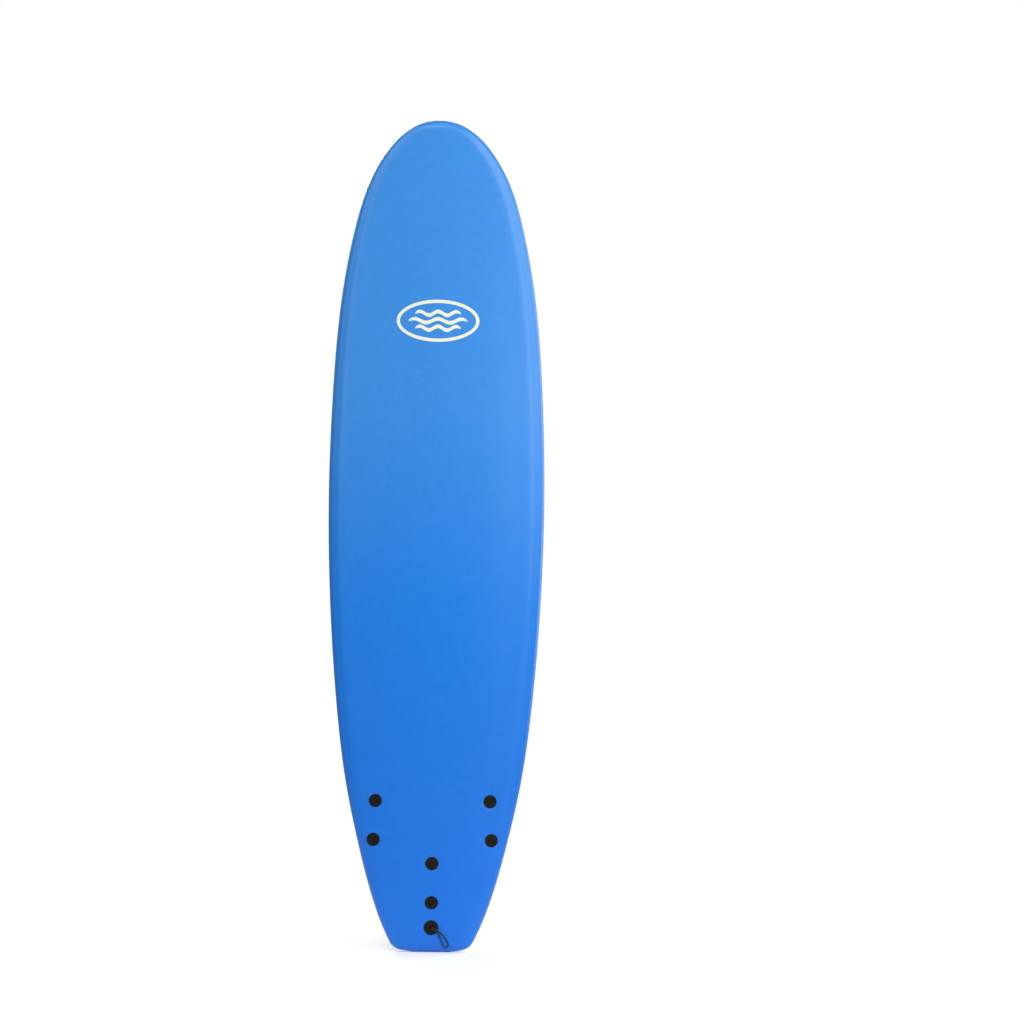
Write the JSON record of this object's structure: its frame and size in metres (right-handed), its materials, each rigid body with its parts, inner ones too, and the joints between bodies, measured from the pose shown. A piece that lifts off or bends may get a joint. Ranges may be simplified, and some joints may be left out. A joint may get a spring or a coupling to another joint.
{
  "type": "soft-top surfboard",
  "caption": "Soft-top surfboard with a blue foam deck, a striped slick bottom, screw-through thruster fins, a leash string plug and a sunken carry grip.",
  "frame": {"origin": "bottom centre of the bounding box, on the surface that the tail stands on", "axes": "+Z from the tail to the nose, -Y out of the deck, +Y out of the bottom on the fins' side, +X towards the rider's right rail"},
  "size_m": [0.559, 0.2639, 2.134],
  "materials": {
    "deck_foam": "closed-cell foam sheet, fine matte grain, bright blue",
    "rail_foam": "closed-cell foam strip, matte, slate grey",
    "slick_sheet": "hard smooth polyethylene sheet, broad blue and pale stripes",
    "liner_foam": "white foam sheet, hidden",
    "core_foam": "white expanded foam, hidden",
    "stringer_wood": "bare plywood, hidden",
    "fin_plastic": "black moulded plastic, satin",
    "plug_plastic": "dark olive-black moulded plastic, satin",
    "screw_steel": "blackened steel",
    "insert_brass": "plain brass, hidden",
    "grip_plastic": "grey moulded plastic cup with a pale rim",
    "string_cord": "braided dark cord"
  },
  "bodies": {
    "board": {"bottom_liner": "liner_foam", "bottom_slick": "slick_sheet", "carry_grip": "grip_plastic", "deck_plug_centre_front": "plug_plastic", "deck_plug_centre_rear": "plug_plastic", "deck_plug_left_front": "plug_plastic", "deck_plug_left_rear": "plug_plastic", "deck_plug_right_front": "plug_plastic", "deck_plug_right_rear": "plug_plastic", "deck_skin": "deck_foam", "fin_centre": "fin_plastic", "fin_insert_centre_front": "insert_brass", "fin_insert_centre_rear": "insert_brass", "fin_insert_left_front": "insert_brass", "fin_insert_left_rear": "insert_brass", "fin_insert_right_front": "insert_brass", "fin_insert_right_rear": "insert_brass", "fin_left": "fin_plastic", "fin_right": "fin_plastic", "fin_screw_centre_front": "screw_steel", "fin_screw_centre_rear": "screw_steel", "fin_screw_left_front": "screw_steel", "fin_screw_left_rear": "screw_steel", "fin_screw_right_front": "screw_steel", "fin_screw_right_rear": "screw_steel", "foam_core_centre": "core_foam", "foam_core_left": "core_foam", "foam_core_right": "core_foam", "leash_plug_base": "plug_plastic", "leash_plug_top": "plug_plastic", "rail_band_left": "rail_foam", "rail_band_right": "rail_foam", "stringer_left": "stringer_wood", "stringer_right": "stringer_wood"},
    "string_loop": {"leash_string": "string_cord", "leash_knot": "string_cord"}
  },
  "joints": [
    {"name": "leash_string_swivel", "type": "hinge", "parent": "board", "child": "string_loop", "pos_m": [0, -0.05125, 0.064], "axis": [0, -0.9967, 0.0811], "range_deg": [-120, 90]}
  ]
}
